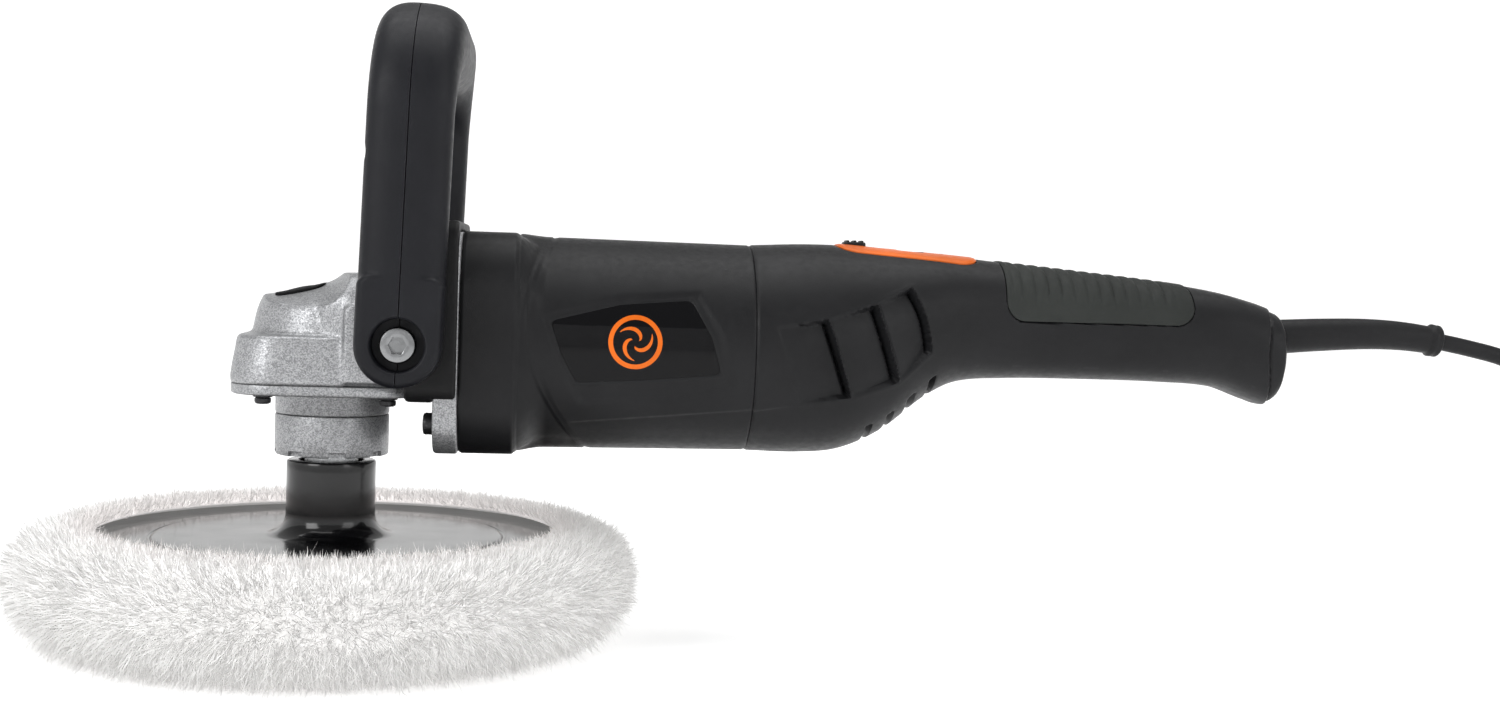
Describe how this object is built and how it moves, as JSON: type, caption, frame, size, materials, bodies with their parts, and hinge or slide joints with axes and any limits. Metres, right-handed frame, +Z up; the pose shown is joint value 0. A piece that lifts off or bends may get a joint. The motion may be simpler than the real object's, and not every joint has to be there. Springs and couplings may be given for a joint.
{
  "type": "rotary polisher",
  "caption": "Corded right-angle rotary polisher: bevel-geared head with a wool pad, D-shaped side handle, barrel motor housing and a tail grip with top controls.",
  "frame": {"origin": "centre of the wool pad's working face, on the spindle axis", "axes": "+Z up the spindle, +X along the motor towards the tail and cord"},
  "size_m": [0.7005, 0.248, 0.2209],
  "materials": {
    "silver_cast": "sparkling silver paint on a casting",
    "black_gloss": "polished",
    "steel": "satin",
    "bolt_chrome": "bright",
    "black_screw": "black oxide",
    "housing_black": "fine spark texture",
    "dark_plastic": "satin",
    "grip_rubber": "matte",
    "cord_rubber": "satin",
    "orange_plastic": "satin",
    "display_glass": "clear dark lens",
    "board_green": "solder mask",
    "copper": "enamelled wire",
    "bronze": "sintered",
    "iron": "laminated",
    "gear_steel": "machined",
    "carbon": "pressed carbon",
    "foam": "closed-cell foam",
    "wool": "long white pile",
    "elastic": "braided elastic"
  },
  "bodies": {
    "root": {"gear_case": "silver_cast", "head_badge": "black_gloss", "bearing_plate": "silver_cast", "neck_collar": "silver_cast", "plate_screws": "black_screw", "spindle_seal": "grip_rubber", "lower_bearing_outer": "steel", "top_bush": "bronze", "front_bearing_outer": "steel", "rear_bearing_outer": "steel", "bearing_balls": "steel", "gear_shroud": "housing_black", "flange_screws": "black_screw", "motor_housing": "housing_black", "side_labels": "black_gloss", "fan_baffle": "dark_plastic", "stator_core": "iron", "field_coils": "copper", "brush_holders": "dark_plastic", "carbon_brushes": "carbon", "brush_springs": "steel", "tail_left": "housing_black", "tail_right": "housing_black", "tail_screws": "steel", "grip_overmold": "grip_rubber", "control_bezel": "orange_plastic", "display_window": "display_glass", "circuit_board": "board_green", "switch_body": "dark_plastic", "cord_clamp": "dark_plastic", "strain_relief": "grip_rubber", "cord_tube": "cord_rubber", "cord_coil": "cord_rubber", "plug_body": "cord_rubber", "plug_blades": "steel", "handle_bolts": "bolt_chrome", "lock_spring": "steel"},
    "spindle": {"spindle": "steel", "crown_gear": "gear_steel", "lower_bearing_inner": "steel", "backing_plate": "black_gloss", "hub_insert": "steel", "foam_pad": "foam", "wool_bonnet": "wool", "bonnet_elastic": "elastic"},
    "armature": {"armature_shaft": "steel", "pinion_gear": "gear_steel", "front_bearing_inner": "steel", "rear_bearing_inner": "steel", "rotor_core": "iron", "rotor_windings": "copper", "commutator": "copper", "cooling_fan": "dark_plastic"},
    "side_handle": {"handle_front": "housing_black", "handle_rear": "housing_black", "handle_screws": "steel"},
    "power_switch": {"power_slider": "dark_plastic"},
    "speed_up_key": {"speed_up": "dark_plastic"},
    "speed_down_key": {"speed_down": "dark_plastic"},
    "spindle_lock": {"lock_button": "dark_plastic"}
  },
  "joints": [
    {"name": "spindle_spin", "type": "hinge", "parent": "root", "child": "spindle", "pos_m": [0, 0, 0], "axis": [0, 0, 1], "continuous": true},
    {"name": "armature_spin", "type": "hinge", "parent": "root", "child": "armature", "pos_m": [0, 0, 0.106], "axis": [1, 0, 0], "continuous": true},
    {"name": "handle_tilt", "type": "hinge", "parent": "root", "child": "side_handle", "pos_m": [0.0265, 0, 0.106], "axis": [0, 1, 0], "range_deg": [-45, 25]},
    {"name": "power_switch_slide", "type": "slide", "parent": "root", "child": "power_switch", "axis": [1, 0, 0], "range_m": [0, 0.007]},
    {"name": "speed_up_press", "type": "slide", "parent": "root", "child": "speed_up_key", "axis": [0, 0, -1], "range_m": [0, 0.001], "stiffness_N_per_m": 300, "springref_m": -0.001},
    {"name": "speed_down_press", "type": "slide", "parent": "root", "child": "speed_down_key", "axis": [0, 0, -1], "range_m": [0, 0.001], "stiffness_N_per_m": 300, "springref_m": -0.001},
    {"name": "spindle_lock_press", "type": "slide", "parent": "root", "child": "spindle_lock", "axis": [0.2588, -0.9659, 0], "range_m": [0, 0.0035], "stiffness_N_per_m": 600, "springref_m": -0.002, "deforming": ["lock_spring"]}
  ],
  "couplings": [
    {"joint": "armature_spin", "follows": "spindle_spin", "ratio": 4}
  ]
}
